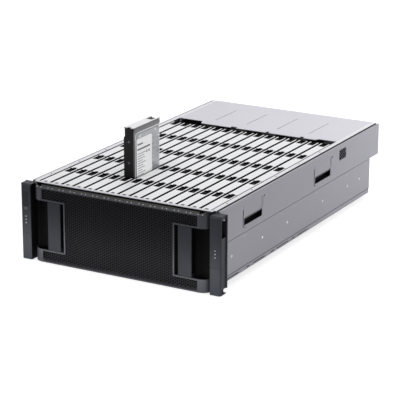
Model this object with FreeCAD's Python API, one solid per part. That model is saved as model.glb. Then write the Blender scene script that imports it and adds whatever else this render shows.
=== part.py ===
"""A rack shelf for seventy-five upright disk drives, opened from above, with one drive drawn out.

X runs across the shelf, Y from front to back and Z up. While the pieces are being made, Y = 0 is the
plane where the rack's posts meet the ears and Z = 0 is the underside of the pan. save() moves every
piece so that the origin is at the centre of the bottom of the whole shelf.
"""
import FreeCAD, Part
import math
import os

V = FreeCAD.Vector

# Shelf
rack_width = 482.6          # over the ears, the standard nineteen-inch panel
ear_reach = 17.3            # the ears' steel past the side panels
nose_depth = 25.5           # rack plane forward to the fronts of the bezel and the ears
upper_depth = 777.5         # rack plane to the rear of the upper body
rear_step = 47.5            # rear of the lower body in front of that of the upper body
upper_panel = 74.7          # joint between the side panels below the top of the shelf
head_room = 5.5             # upper ends of the seated disks below the top of the shelf
side_bottom = 13.0          # lower edge of the side panels
joggle_rise = 12.0          # step in the foot of the side panels above their lower edge
foot_slots = ((25.0, 82.0), (115.0, 130.0), (146.0, 199.0), (226.0, 240.0), (252.0, 309.0),
              (326.0, 341.0), (352.0, 403.0))
foot_slot_low = 16.0
foot_slot_high = 18.5
sheet = 1.2
seam_gap = 1.0
joggle = 1.0                # step in at the foot of the lower side panels
slip = 0.3                  # clearance between pieces that slot together

# Disk drive and its carrier
disk_thick = 26.1
disk_wide = 101.6
disk_tall = 147.0
disk_floor = 18.5           # height of a seated disk's lower end
rail_thick = 3.5
bridge_thick = 1.8
cap_thick = 3.0
cap_wide = 24.5
cap_drop = 0.5              # top of the caps below the top of the shelf
notch_wide = 12.4
notch_long = 22.0
lug_wide = 7.4
lug_long = 3.0
carrier_clearance = 0.5     # between a carrier and the cross walls

# Drive cage
rows = 5
column_pitch = 27.5
bay_margin = 17.5           # least room beside the columns inside the side panels' faces
row_start = -1.0            # front of the carriers in the first row
cross_wall = 1.6
wall_drop = 1.2             # top of the cross walls below the top of the shelf
rib_wide = 2.4
rib_deep = 2.4
rib_drop = 11.0
shoulder_drop = 10.0        # shoulders of the cross walls below the lifting pockets
raised_column = 5
raised_row = 1
raised_by = 108.0

# Pan, rails and cover
pan_inset = 22.0            # the pan's side walls inside the side panels' faces
pan_flange_top = 15.4
post_inset = 37.0           # the board's posts inside the pan's side walls
post_r = 3.5
board_floor = 12.0
board_thick = 1.6
socket_long = 42.0
socket_wide = 6.5
socket_offset = 30.0        # from a disk's front face to its socket
rail_inset = 7.0            # outer face of the inner wall inside the side panel
rail_lip = 9.0
side_top_drop = 1.5
side_top_return = 3.7
rail_hole_r = 2.2
rail_hole_pitch = 108.0
rail_hole_start = 51.0
cover_setback = 15.0        # front edge of the rear cover behind the last row
cover_step = 18.0
cover_step_inset = 61.3
cover_notches = ((-62.0, -46.0), (30.0, 38.0), (117.0, 127.0))
cover_corner = (157.0, 163.0)
notch_deep = 9.5
crease_setback = 40.0       # creases behind the cover's front edge
crease_rear = 57.5          # and in front of its rear edge
crease_wide = 2.4
crease_deep = 0.5

# Front wall and bezel
wall_front = -11.0
lip_gap = 2.0               # end of the front wall's lip to the ear
slot_wide = 16.0            # air slots in the front wall, one to a column
slot_low = 24.0
slot_drop = 23.0
bezel_gap = 2.5             # end of the bezel to the ear
bezel_radius = 23.0
bezel_wall = 2.5
bezel_bottom = 1.0
chamfer_foot = 7.2          # foot of the bezel's chamfer below the top of the shelf
mesh_thick = 1.2
mesh_hole = 26.0            # across the flats of a mesh hole
mesh_web = 5.0
window_bottom = 29.0
window_drop = 35.0
window_wide = 79.0
rim = 3.0
grip_inset = 8.5            # the pull grip's edge past the window's inner edge
grip_wide = 31.5
grip_thick = 3.0
grip_play = 1.0             # between a grip and the upper and lower edges of its window

# Ears
ear_set = 2.3               # the ears' covers inside the edges of the steel
ear_wide = 25.0
ear_bottom = 1.0
ear_drop = 4.6
ear_wall = 2.2
ear_leg = 60.0
plate_thick = 2.5
rack_hole_inset = 8.75      # gives the rack's 465.1 mm between the two columns of holes
rack_hole_low = 22.2
rack_hole_drop = 10.85      # gives the rack's 133.35 mm between the holes of a column
rack_hole_r = 3.5
hook_wide = 9.0             # cut out of the steel at its lower outer corner
hook_tall = 13.0
groove_height = 59.0
cheek_slot = (46.0, 8.0)    # foot and head of the opening in the cover's outer side, below its top
lamp_r = 1.6
lamp_pitch = 7.15
lamp_drop = 17.3            # highest lamp below the key
button_wide = 8.0
button_tall = 5.0
button_drop = 4.5           # key below the display
display_drop = 16.9         # display below the top of the ear
display_tall = 32.2
display_wide = 15.0

# Lifting pockets and vents in the upper side panels
front_pocket = 102.0
rear_pocket = 343.5         # from the start of the rear pocket to the rear of the upper body
pocket_long = 80.0
pocket_drop = 43.0
pocket_tall = 17.0
pocket_depth = 14.0
grip_deep = 7.0
grip_tall = 4.8
press_rise = 26.0           # pressed panel above the pocket's mouth
press_margin = 3.5
press_gap = 1.5
press_deep = 0.5
slit_wide = 1.4
vent_rear = 217.5           # from the start of the vent to the rear of the upper body
vent_drop = 36.5
vent_slot = (8.0, 2.6)
vent_step = (12.5, 5.0)
rivet_r = 3.0
rivet_rise = 0.8
rivet_drop = 34.9           # rivets below the joint between the side panels
front_rivets = (49.7, 184.7, 299.9)
rear_rivets = (254.0, 123.0, 57.0)

# Rear bays
module_clearance = 1.0
fan_count = 5
fan_case_long = 85.0
fan_inset = 20.5            # rear faces of the fans inside the rear of the upper body
fan_rim = 3.5               # around the duct
fan_hub_r = 14.0
fan_blades = 5
fan_arms = 3
fan_tip_gap = 1.0
fan_depth = 30.0
motor_long = 18.0
blade_pitch = 45.0
blade_sweep = 14.0
tab_low = 14.0              # foot of the fan's pull tab above the fan's floor
tab_tall = 36.0
tab_reach = 15.0
tab_corner = 6.0
bay_setback = 6.0           # front of the rear modules behind the last row
shelf_setback = 40.0        # front of the shelf under the fans behind that of the lower modules
bay_inset = 6.0             # rear faces of the lower modules inside the rear of the lower body
face_deep = 17.0            # rear faces of the control modules and power supplies
supply_wide = 82.0
supply_play = 1.6           # between a power supply and the pan's wall

# Worked out from the sizes above
half_body = rack_width / 2 - ear_reach
disk_top = disk_floor + disk_tall
body_height = disk_top + head_room
lower_depth = upper_depth - rear_step
seam_height = body_height - upper_panel
carrier_long = disk_wide + 2 * rail_thick
row_pitch = carrier_long + 2 * carrier_clearance + cross_wall
columns = int(2 * (half_body - bay_margin) / column_pitch)
bay_half = columns * column_pitch / 2
inner_wall = half_body - rail_inset
cap_top = body_height - cap_drop
cap_floor = cap_top - cap_thick
pan_half = half_body - pan_inset
board_top = board_floor + board_thick
board_half = pan_half - 2
bays_end = row_start + rows * row_pitch
bay_start = bays_end + bay_setback
bay_rear = lower_depth - bay_inset
midplane_y = bay_start - 3
ear_outer = rack_width / 2 - ear_set
ear_inner = ear_outer - ear_wide
ear_top = body_height - ear_drop
ear_middle = (ear_inner + ear_outer) / 2
bezel_half = ear_inner - bezel_gap
mesh_edge = bezel_half - bezel_radius - bezel_wall
mesh_top = body_height - chamfer_foot
window_inner = bezel_half - window_wide
window_top = body_height - window_drop
display_high = ear_top - display_drop
button_height = display_high - display_tall - button_drop
lamp_heights = [button_height - lamp_drop - i * lamp_pitch for i in range(3)]
pocket_starts = (front_pocket, upper_depth - rear_pocket)
pocket_high = body_height - pocket_drop
pocket_low = pocket_high - pocket_tall
front = -nose_depth
origin_y = (front + upper_depth) / 2


def column_x(column):
    return (column - (columns - 1) / 2) * column_pitch


def row_y(row):
    return row_start + row * row_pitch


def prism(points, axis, start, end):
    """A closed outline of (first, second) points in the plane across an axis, drawn out along it."""
    place = {
        "x": lambda a, b: V(start, a, b),
        "y": lambda a, b: V(a, start, b),
        "z": lambda a, b: V(a, b, start),
    }[axis]
    along = {"x": V(1, 0, 0), "y": V(0, 1, 0), "z": V(0, 0, 1)}[axis]
    outline = Part.makePolygon([place(a, b) for a, b in points + points[:1]])
    return Part.Face(outline).extrude(along * (end - start))


def block(x, y, z):
    """A rectangular block from its (low, high) spans."""
    return Part.makeBox(x[1] - x[0], y[1] - y[0], z[1] - z[0], V(x[0], y[0], z[0]))


def bar(radius, axis, a, b, start, end, sides=12):
    """A straight bar of a radius over its flats, centred on (a, b) in the plane across an axis."""
    return prism(ring(a, b, radius / math.cos(math.pi / sides), sides), axis, start, end)


def strip(path, thickness):
    """The closed outline of a folded sheet that follows a path and lies to its left."""
    steps = [(b[0] - a[0], b[1] - a[1]) for a, b in zip(path, path[1:])]
    normals = [(-v / math.hypot(u, v), u / math.hypot(u, v)) for u, v in steps]
    before = normals[:1] + normals
    after = normals + normals[-1:]
    inner = []
    for (a, b), m, n in zip(path, before, after):
        share = thickness / (1 + m[0] * n[0] + m[1] * n[1])
        inner.append((a + share * (m[0] + n[0]), b + share * (m[1] + n[1])))
    return path + inner[::-1]


def ring(a, b, radius, sides):
    """The corners of a regular outline round (a, b), with a flat side at its foot."""
    turns = [2 * math.pi * (i + 0.5) / sides - math.pi / 2 for i in range(sides)]
    return [(a + radius * math.cos(t), b + radius * math.sin(t)) for t in turns]


def folded(path, axis, start, end, thickness=sheet):
    return prism(strip(path, thickness), axis, start, end)


def mirrored(shape):
    return shape.mirror(V(0, 0, 0), V(1, 0, 0))


def fuse(first, *others):
    return first.multiFuse(list(others)).removeSplitter()


def cut(shape, tools):
    return shape.cut(Part.makeCompound(list(tools)))


def rounded_plate(first, second, axis, start, end, radii):
    """A plate with rounded corners; radii run from the low, low corner round the outline."""
    (a0, a1), (b0, b1) = first, second
    corners = [(a0, b0), (a1, b0), (a1, b1), (a0, b1)]
    plate = prism(corners, axis, start, end)
    for corner, radius in zip(corners, radii):
        if radius == 0:
            continue
        edges = [e for e in plate.Edges if along_axis(e, axis) and passes(e, corner, axis)]
        plate = plate.makeFillet(radius, edges)
    return plate


def along_axis(edge, axis):
    direction = edge.Vertexes[-1].Point - edge.Vertexes[0].Point
    across = {"x": (direction.y, direction.z), "y": (direction.x, direction.z),
              "z": (direction.x, direction.y)}[axis]
    return len(edge.Vertexes) == 2 and math.hypot(*across) < 1e-6


def passes(edge, corner, axis):
    point = edge.Vertexes[0].Point
    across = {"x": (point.y, point.z), "y": (point.x, point.z), "z": (point.x, point.y)}[axis]
    return math.hypot(across[0] - corner[0], across[1] - corner[1]) < 1e-6


def save(name, *solids):
    shape = solids[0].copy() if len(solids) == 1 else Part.makeCompound([s.copy() for s in solids])
    shape.translate(V(0, -origin_y, 0))
    shape.exportStep("parts/" + name + ".step")


# Chassis

def chassis_pan():
    flange_half = half_body - joggle - sheet - slip
    flange = pan_flange_top - sheet
    path = [(-flange_half, flange), (-pan_half, flange), (-pan_half, 0),
            (pan_half, 0), (pan_half, flange), (flange_half, flange)]
    pan = folded(path, "y", wall_front + sheet, lower_depth)
    clear = block((pan_half, half_body), (wall_front, 0), (0, pan_flange_top))
    pan = cut(pan, [clear, mirrored(clear)])
    posts = []
    for x in (post_inset - pan_half, pan_half - post_inset):
        for row in (0.5, 2.5, 4.5):
            posts.append(prism(ring(x, row_y(row), post_r, 6), "z", sheet, board_floor))
    return fuse(pan, *posts)


def end_return(low, high, y, inner):
    """The flange folded in at one end of a side panel."""
    return block((inner, half_body), (y, y + sheet), (low, high))


def lower_side():
    """The right-hand lower side panel: a joggled sheet with a flange under the pan's own flange."""
    top = seam_height - seam_gap / 2
    fold = side_bottom + joggle_rise
    foot = half_body - joggle
    path = [(inner_wall - 7, side_bottom), (foot, side_bottom), (foot, fold - joggle),
            (half_body, fold), (half_body, top)]
    panel = fuse(folded(path, "y", 0, lower_depth),
                 end_return(pan_flange_top, top, 0, inner_wall + plate_thick))
    z = (foot_slot_low, foot_slot_high)
    return cut(panel, [block((half_body - 3, half_body), ends, z) for ends in foot_slots])


def upper_side():
    """The right-hand upper side panel, with two lifting pockets and a vent."""
    low = seam_height + seam_gap / 2
    top = body_height - side_top_drop
    path = [(half_body, low), (half_body, top), (half_body - side_top_return, top)]
    panel = fuse(folded(path, "y", 0, upper_depth),
                 end_return(low, top - sheet, 0, inner_wall + plate_thick),
                 end_return(low, top - sheet, upper_depth - sheet, inner_wall))
    tools = []
    for start in pocket_starts:
        tools += pocket_cuts(start)
    for i in range(3):
        for j in range(5):
            y = upper_depth - vent_rear + i * vent_step[0] + (j % 2) * vent_step[0] / 3
            z = body_height - vent_drop + j * vent_step[1]
            tools.append(block((half_body - 3, half_body + 1), (y, y + vent_slot[0]),
                               (z, z + vent_slot[1])))
    return cut(panel, tools)


def pocket_cuts(start):
    """The mouth of a lifting pocket, the pressed panel above it, its two slits and a latch hole."""
    end = start + pocket_long
    x = (half_body - 3, half_body + 1)
    press_top = pocket_high + press_rise
    mouth = block(x, (start, end), (pocket_low, pocket_high))
    press = block((half_body - press_deep, half_body + 1), (start - press_margin, end + press_margin),
                  (pocket_high + press_gap, press_top))
    front_slit = block(x, (start - 1, start - 1 + slit_wide), (press_top - 8, press_top))
    rear_slit = block(x, (end - 2, end - 2 + slit_wide), (pocket_high + press_gap, press_top))
    latch_hole = block(x, (end + 8, end + 11.5), (press_top - 4, press_top))
    return [mouth, press, front_slit, rear_slit, latch_hole]


def lift_pocket(start):
    """A sheet tray behind a pocket's mouth, reaching in past the inner wall."""
    outer = half_body - sheet
    inner = half_body - pocket_depth
    end = start + pocket_long
    tray = block((inner, outer), (start - sheet, end + sheet), (pocket_low - sheet, pocket_high + sheet))
    hollow = block((inner + sheet, outer + 1), (start, end), (pocket_low, pocket_high))
    return tray.cut(hollow)


def lift_grip(start):
    """A moulded edging clipped over the upper lip of a pocket's mouth, rounded where the fingers go."""
    x1 = half_body - sheet
    x0 = x1 - grip_deep
    low = pocket_high - grip_tall
    bevel = grip_tall / 3
    return prism([(x0, pocket_high), (x0, low + bevel), (x0 + bevel, low), (x1 - bevel, low),
                  (x1, low + bevel), (x1, pocket_high)], "y", start + slip, start + pocket_long - slip)


def rail():
    """The right-hand inner wall, whose top is folded in over the cage and down into a lip."""
    lip_x = bay_half + slip / 2
    path = [(inner_wall, pan_flange_top), (inner_wall, body_height), (lip_x, body_height),
            (lip_x, body_height - rail_lip)]
    wall = folded(path, "y", -plate_thick, upper_depth - sheet)
    tools = [block((bay_half - 5, half_body), (lower_depth, upper_depth), (0, seam_height))]
    for y in pocket_starts:
        tools.append(block((inner_wall - 3, inner_wall + 1), (y - sheet, y + pocket_long + sheet),
                           (pocket_low - sheet, pocket_high + sheet)))
    x = (lip_x + inner_wall) / 2
    for i in range(rows):
        y = rail_hole_start + i * rail_hole_pitch
        tools.append(prism(ring(x, y, rail_hole_r, 8), "z", body_height - 3, body_height + 1))
    return cut(wall, tools)


def side_rivets():
    heads = []
    z = seam_height - rivet_drop
    for y in list(front_rivets) + [lower_depth - back for back in rear_rivets]:
        head = prism(ring(y, z, rivet_r, 6), "x", half_body, half_body + rivet_rise)
        heads += [head, mirrored(head)]
    return heads


def front_wall():
    """The wall behind the bezel, slotted for air, with a lip folded back over its top."""
    edge = bay_half
    wall = prism([(-pan_half, 0), (pan_half, 0), (pan_half, pan_flange_top), (edge, pan_flange_top),
                  (edge, body_height - sheet), (-edge, body_height - sheet),
                  (-edge, pan_flange_top), (-pan_half, pan_flange_top)],
                 "y", wall_front, wall_front + sheet)
    back = row_y(0) - carrier_clearance - cross_wall
    side = block((edge - sheet, edge), (wall_front, back), (pan_flange_top, body_height - sheet))
    lip_half = ear_inner - lip_gap
    lip = block((-lip_half, lip_half), (wall_front, back), (body_height - sheet, body_height))
    wall = fuse(wall, side, mirrored(side), lip)
    slots = []
    for column in range(columns):
        x = column_x(column)
        slots.append(block((x - slot_wide / 2, x + slot_wide / 2), (wall_front - 1, wall_front + 3),
                           (slot_low, body_height - slot_drop)))
    return cut(wall, slots)


def cage_wall(row):
    """One cross wall of the cage, with upright ribs behind it that guide the carriers' front rails."""
    y = row_y(row) - carrier_clearance - cross_wall
    shoulder = inner_wall - sheet if row > 0 else bay_half
    shoulder_top = pocket_low - shoulder_drop
    top = body_height - wall_drop
    low = block((-shoulder, shoulder), (y, y + cross_wall), (pan_flange_top, shoulder_top))
    high = block((-bay_half, bay_half), (y, y + cross_wall), (shoulder_top, top))
    wall = fuse(low, high)
    if row == rows:
        return wall
    ribs = []
    for boundary in range(columns + 1):
        x = column_x(boundary) - column_pitch / 2
        ribs.append(block((x - rib_wide / 2, x + rib_wide / 2), (y, y + cross_wall + rib_deep),
                          (disk_floor + 2, body_height - rib_drop)))
    return fuse(wall, *ribs)


def backplane_board():
    return block((-board_half, board_half), (0, midplane_y + board_thick), (board_floor, board_top))


def socket(column, row):
    x = column_x(column)
    y = row_y(row) + rail_thick + socket_offset
    body = block((x - socket_wide / 2, x + socket_wide / 2), (y, y + socket_long),
                 (board_top, disk_floor - slip))
    if (column, row) != (raised_column, raised_row):
        return body
    slot = block((x - 1.2, x + 1.2), (y + 3, y + socket_long - 3), (disk_floor - 4, disk_floor))
    return body.cut(slot)


# Drives

def seated_drive(column, row):
    """A drive in its slot, with its carrier and the finger notch at the back of its cap."""
    x = column_x(column)
    y = row_y(row)
    end = y + carrier_long
    body = block((x - cap_wide / 2, x + cap_wide / 2), (y, end), (disk_floor, cap_top))
    notch = block((x - notch_wide / 2, x + notch_wide / 2), (end - notch_long, end + 1),
                  (cap_floor, cap_top + 1))
    return body.cut(notch)


raised_x = column_x(raised_column)
raised_y = row_y(raised_row)
hinge_y = raised_y + cap_thick / 2
hinge_z = cap_floor + cap_thick / 2
hinge_pin_r = 0.8
pin_clearance = 0.08
screw_heights = (75.0, 121.0)
cover_thick = 1.5
lid_drop = 14.0             # the lid's top edge below the disk's
lid_corners = (14.0, 12.0)
pivot_r = 8.0
pivot_place = (16.0, 30.0)  # from the disk's rear face and from its top
board_tall = 60.0


def lifted(shape):
    shape.translate(V(0, 0, raised_by))
    return shape


def end_rail(y):
    """An end rail of the raised drive's carrier, stepped in near its top."""
    left = raised_x - cap_wide / 2
    right = raised_x + 8.8
    step = disk_top - 17
    profile = [(left + 2, disk_floor), (right - 2, disk_floor), (right, disk_floor + 3),
               (right, disk_top), (left + 2.8, disk_top), (left + 2.8, step + 2.8), (left, step),
               (left, disk_floor + 3)]
    return prism(profile, "y", y, y + rail_thick)


def drive_carrier():
    y = raised_y
    end = y + carrier_long
    left = raised_x - cap_wide / 2
    bridge = block((left + 2.8, raised_x + 8.8), (y, end), (disk_top, disk_top + bridge_thick))
    lug = block((raised_x - lug_wide / 2 + slip, raised_x + lug_wide / 2 - slip), (y, hinge_y),
                (disk_top + bridge_thick, hinge_z))
    knuckle = bar(cap_thick / 2, "x", hinge_y, hinge_z, raised_x - lug_wide / 2 + slip,
                  raised_x + lug_wide / 2 - slip)
    bore = bar(hinge_pin_r + pin_clearance, "x", hinge_y, hinge_z, raised_x - lug_wide,
               raised_x + lug_wide)
    body = fuse(end_rail(y), end_rail(end - rail_thick), bridge, lug, knuckle)
    return lifted(body.cut(bore))


def drive_lever():
    """The white cap: a lever that is hinged on a pin through the lug at the carrier's front."""
    x = (raised_x - cap_wide / 2, raised_x + cap_wide / 2)
    z = (cap_floor - 1, cap_top + 1)
    end = raised_y + carrier_long
    plate = block(x, (hinge_y, end), (cap_floor, cap_top))
    nose = bar(cap_thick / 2, "x", hinge_y, hinge_z, x[0], x[1])
    plate = fuse(plate, nose)
    tail = [e for e in plate.Edges if along_axis(e, "z") and abs(e.Vertexes[0].Point.y - end) < 1e-6]
    plate = plate.makeFillet(2.0, tail)
    notch = block((raised_x - notch_wide / 2, raised_x + notch_wide / 2), (end - notch_long, end + 1), z)
    slot = block((raised_x - lug_wide / 2, raised_x + lug_wide / 2),
                 (raised_y - 1, raised_y + lug_long + slip), z)
    pin = bar(hinge_pin_r, "x", hinge_y, hinge_z, raised_x - lug_wide, raised_x + lug_wide)
    return lifted(plate.cut(notch).cut(slot).fuse(pin))


disk_left = raised_x - disk_thick / 2
disk_right = raised_x + disk_thick / 2
cover_seat = disk_right - cover_thick
disk_front = raised_y + rail_thick
disk_back = disk_front + disk_wide


def drive_casting():
    """The disk's cast base, with rounded corners, a pocket for the board and a recess for the plug."""
    body = rounded_plate((disk_left, cover_seat), (disk_front, disk_back), "z", disk_floor, disk_top,
                         (2.5, 0, 0, 2.5))
    pocket = block((disk_left - 1, disk_left + 2), (disk_front + 5, disk_back - 5),
                   (disk_floor - 1, disk_floor + board_tall + 2))
    start = disk_front + socket_offset
    plug = block((raised_x - 4, raised_x + 4), (start, start + socket_long),
                 (disk_floor - 1, disk_floor + 6))
    return lifted(cut(body, [pocket, plug]))


def drive_cover():
    """The disk's lid: a pressed plate with wide upper corners and a pivot boss."""
    face = disk_right - 0.5
    plate = rounded_plate((disk_front + 6, disk_back - 2), (disk_floor + 3, disk_top - lid_drop), "x",
                          cover_seat, face, (0, 0) + lid_corners)
    boss = bar(pivot_r, "x", disk_back - pivot_place[0], disk_top - pivot_place[1], face, disk_right, 20)
    return lifted(fuse(plate, boss))


def drive_board():
    """The disk's circuit board in its pocket, and the plug at its lower edge."""
    board = block((disk_left + 0.4, disk_left + 2), (disk_front + 6, disk_back - 6),
                  (disk_floor + 0.5, disk_floor + board_tall))
    start = disk_front + socket_offset
    plug = block((raised_x - 3.8, raised_x + 3.8), (start + slip, start + socket_long - slip),
                 (disk_floor, disk_floor + 6))
    return lifted(board), lifted(plug)


def drive_screws():
    """The screws that hold the disk to its rails, with flat heads within the carrier's clearance."""
    screws = []
    for height in screw_heights:
        for face in (raised_y - 0.3, raised_y + carrier_long):
            head = prism(ring(raised_x, disk_floor + height, 2.7, 8), "y", face, face + 0.3)
            screws.append(lifted(head))
    return screws


# Front

def bezel_outline(inset):
    """The bezel's plan, from its left end round the front to its right end, inset by a wall."""
    half = bezel_half - inset
    radius = bezel_radius - inset
    y = front + inset
    back = front + bezel_radius
    centre = bezel_half - bezel_radius
    corner = radius * math.sqrt(0.5)
    left = Part.Arc(V(-half, back, 0), V(-centre - corner, back - corner, 0), V(-centre, y, 0)).toShape()
    right = Part.Arc(V(centre, y, 0), V(centre + corner, back - corner, 0), V(half, back, 0)).toShape()
    middle = Part.makeLine(V(-centre, y, 0), V(centre, y, 0))
    closing = Part.makeLine(V(half, back, 0), V(-half, back, 0))
    return Part.Face(Part.Wire([left, middle, right, closing]))


def bezel_frame():
    """The moulded bezel: a wall with round ends, open where the mesh and the hand windows are."""
    top = body_height - sheet - slip
    chamfer = top - mesh_top
    shell = bezel_outline(0).cut(bezel_outline(bezel_wall)).extrude(V(0, 0, top - bezel_bottom))
    shell.translate(V(0, 0, bezel_bottom))
    slope = prism([(front - 1, mesh_top - 1), (front - 1, top + 1), (front + chamfer + 1, top + 1)],
                  "x", -bezel_half - 1, bezel_half + 1)
    path = [(front + 1, mesh_top + 1), (front + chamfer, top), (front + chamfer, top - 4)]
    roof = prism(strip(path, -1.6), "x", -bezel_half + bezel_radius, bezel_half - bezel_radius)
    body = shell.cut(slope)
    reach = (front - 1, front + bezel_radius + 1)
    mesh = block((-mesh_edge, mesh_edge), (front - 1, front + bezel_wall + 1),
                 (bezel_bottom + rim, mesh_top - 2))
    window = block((window_inner, bezel_half + 1), reach, (window_bottom, window_top))
    surround = block((window_inner - rim, mesh_edge + 2), reach, (window_bottom - rim, window_top + rim))
    opening = cut(mesh, [surround, mirrored(surround)])
    body = cut(body, [opening, window, mirrored(window)])
    return fuse(body, roof)


def mesh_regions():
    """The mesh's three bands: across the bottom and the top, and the middle between the windows."""
    low, high = bezel_bottom + rim, mesh_top - 2
    inner = window_inner - rim
    return [((-mesh_edge, mesh_edge), (low, window_bottom - rim)),
            ((-inner, inner), (low, high)),
            ((-mesh_edge, mesh_edge), (window_top + rim, high))]


def bezel_mesh():
    """A perforated sheet with hexagonal holes in staggered rows, behind the bezel's front wall."""
    y = front + bezel_wall - mesh_thick
    panels = [block((a + slip, b - slip), (y, y + mesh_thick), (c + slip, d - slip))
              for (a, b), (c, d) in mesh_regions()]
    panel = fuse(*panels)
    pitch = mesh_hole + mesh_web
    rise = pitch * math.sqrt(3) / 2
    margin = pitch / 2 + 1
    holes = []
    count_z = int((mesh_top - bezel_bottom) / rise)
    count_x = int(2 * mesh_edge / pitch) + 1
    for j in range(count_z):
        z = bezel_bottom + rim + margin + j * rise
        for i in range(-count_x, count_x + 1):
            x = (i + (j % 2) / 2) * pitch
            for (a, b), (c, d) in mesh_regions():
                if a + margin <= x <= b - margin and c + margin <= z <= d - margin:
                    outline = ring(x, z, mesh_hole / math.sqrt(3), 6)
                    holes.append(prism(outline, "y", y - 1, y + mesh_thick + 1))
                    break
    return cut(panel, holes)


def pull_grip():
    """A bow handle in the right-hand window: a rounded bar whose two legs reach back to the wall."""
    low, high = window_bottom + grip_play, window_top - grip_play
    path = [(wall_front, high), (front + slip, high), (front + slip, low), (wall_front, low)]
    inner = window_inner + grip_inset
    bow = folded(path, "x", inner, inner + grip_wide, grip_thick)
    edges = [e for e in bow.Edges if along_axis(e, "z")
             and abs(e.Vertexes[0].Point.y - front - slip) < 1e-6]
    return bow.makeFillet(grip_thick * 0.6, edges)


# Ears

def ear_plate():
    """The right-hand steel ear: a drilled flange with a leg that runs back beside the inner wall."""
    outer = rack_width / 2
    flange = block((inner_wall, outer), (-plate_thick, 0), (ear_bottom, ear_top))
    hook = block((outer - hook_wide, outer + 1), (-plate_thick - 1, 1), (ear_bottom - 1, hook_tall))
    leg = block((inner_wall, inner_wall + plate_thick), (0, ear_leg),
                (pan_flange_top + 5, body_height - rib_drop))
    holes = [Part.makeCylinder(rack_hole_r, plate_thick + 2,
                               V(outer - rack_hole_inset, -plate_thick - 1, z), V(0, 1, 0))
             for z in (rack_hole_low, ear_top - rack_hole_drop)]
    return cut(fuse(flange, leg), [hook] + holes)


def ear_cover():
    """The right-hand ear's moulded cover: a shell with three lamp holes and a parting groove."""
    back = -plate_thick
    shell = rounded_plate((ear_inner, ear_outer), (front, back), "z", ear_bottom, ear_top, (2, 5, 0, 0))
    hollow = block((ear_inner + ear_wall, ear_outer - ear_wall), (front + ear_wall, back + 1),
                   (ear_bottom + ear_wall, ear_top - ear_wall))
    slope = prism([(front - 1, ear_top - 5), (front - 1, ear_top + 1), (front + 5, ear_top + 1)],
                  "x", ear_inner - 1, ear_outer + 1)
    groove = block((ear_inner - 1, ear_outer + 1), (front - 1, front + 0.8),
                   (groove_height, groove_height + 1))
    lamps = [prism(ring(ear_middle, z, lamp_r, 6), "y", front - 1, front + ear_wall + 1)
             for z in lamp_heights]
    outer = (ear_outer - ear_wall - 1, ear_outer + 1)
    side_slot = block(outer, (front + 5, back + 1),
                      (ear_top - cheek_slot[0], ear_top - cheek_slot[1]))
    foot_slot = block(outer, (front + 7, back + 1), (ear_bottom + ear_wall, hook_tall))
    return cut(shell, [hollow, slope, groove, side_slot, foot_slot] + lamps)


def display_place(clear):
    """The space of the small display in the left ear, drawn on the right for mirroring."""
    half = display_wide / 2 - clear
    return block((ear_middle - half, ear_middle + half), (front + (0 if clear else -1), front + 1.5),
                 (display_high - display_tall + clear, display_high - clear))


def button_place(clear, start, end):
    half, tall = button_wide / 2 + clear, button_tall / 2 + clear
    return block((ear_middle - half, ear_middle + half), (start, end),
                 (button_height - tall, button_height + tall))


def left_ear_cover():
    cover = cut(ear_cover(), [display_place(0), button_place(slip, front - 1, front + ear_wall + 1)])
    return mirrored(cover)


def id_button():
    """A push key with a collar behind the ear's front wall."""
    key = button_place(0, front, front + 6)
    collar = button_place(1.2, front + ear_wall + slip, front + ear_wall + slip + 1.2)
    return mirrored(fuse(key, collar))


def status_lenses():
    lenses = []
    for z in lamp_heights:
        lens = prism(ring(ear_middle, z, lamp_r - 0.1, 6), "y", front, front + ear_wall + 2)
        lenses += [lens, mirrored(lens)]
    return lenses


# Rear

def rear_cover():
    """The fixed cover over the fans: a sheet with three finger notches, side flanges and creases."""
    half = bay_half
    front_edge = bays_end + cover_setback
    rear = upper_depth - sheet
    step = front_edge + cover_step
    step_x = cover_step_inset - half
    notch = front_edge + notch_deep
    outline = [(-half, step), (step_x, step), (step_x + 6, front_edge)]
    for start, end in cover_notches:
        outline += [(start, front_edge), (start, notch), (end, notch), (end, front_edge)]
    outline += [(cover_corner[0], front_edge), (cover_corner[1], notch), (half, notch), (half, rear),
                (-half, rear)]
    plate = prism(outline, "z", body_height - sheet, body_height)
    flange = block((half - sheet, half), (step, rear), (body_height - rail_lip, body_height))
    cover = fuse(plate, flange, mirrored(flange))
    span = (front_edge + crease_setback, upper_depth - crease_rear)
    creases = [block((x - crease_wide / 2, x + crease_wide / 2), span,
                     (body_height - crease_deep, body_height + 1)) for x in fan_boundaries()]
    return cut(cover, creases)


fan_pitch = (2 * bay_half - 2 * sheet - 2 * module_clearance) / fan_count
fan_floor = seam_height + sheet + slip
fan_top = body_height - sheet - module_clearance
fan_axis_z = (fan_floor + fan_top) / 2
fan_duct_r = (fan_top - fan_floor) / 2 - fan_rim
fan_rear = upper_depth - fan_inset


def fan_x(index):
    return (index - (fan_count - 1) / 2) * fan_pitch


def fan_boundaries():
    return [fan_x(i) + fan_pitch / 2 for i in range(fan_count - 1)]


supply_outer = pan_half - sheet - supply_play
supply_inner = supply_outer - supply_wide
io_wide = 2 * (supply_inner - 2 * module_clearance - sheet)


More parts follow.
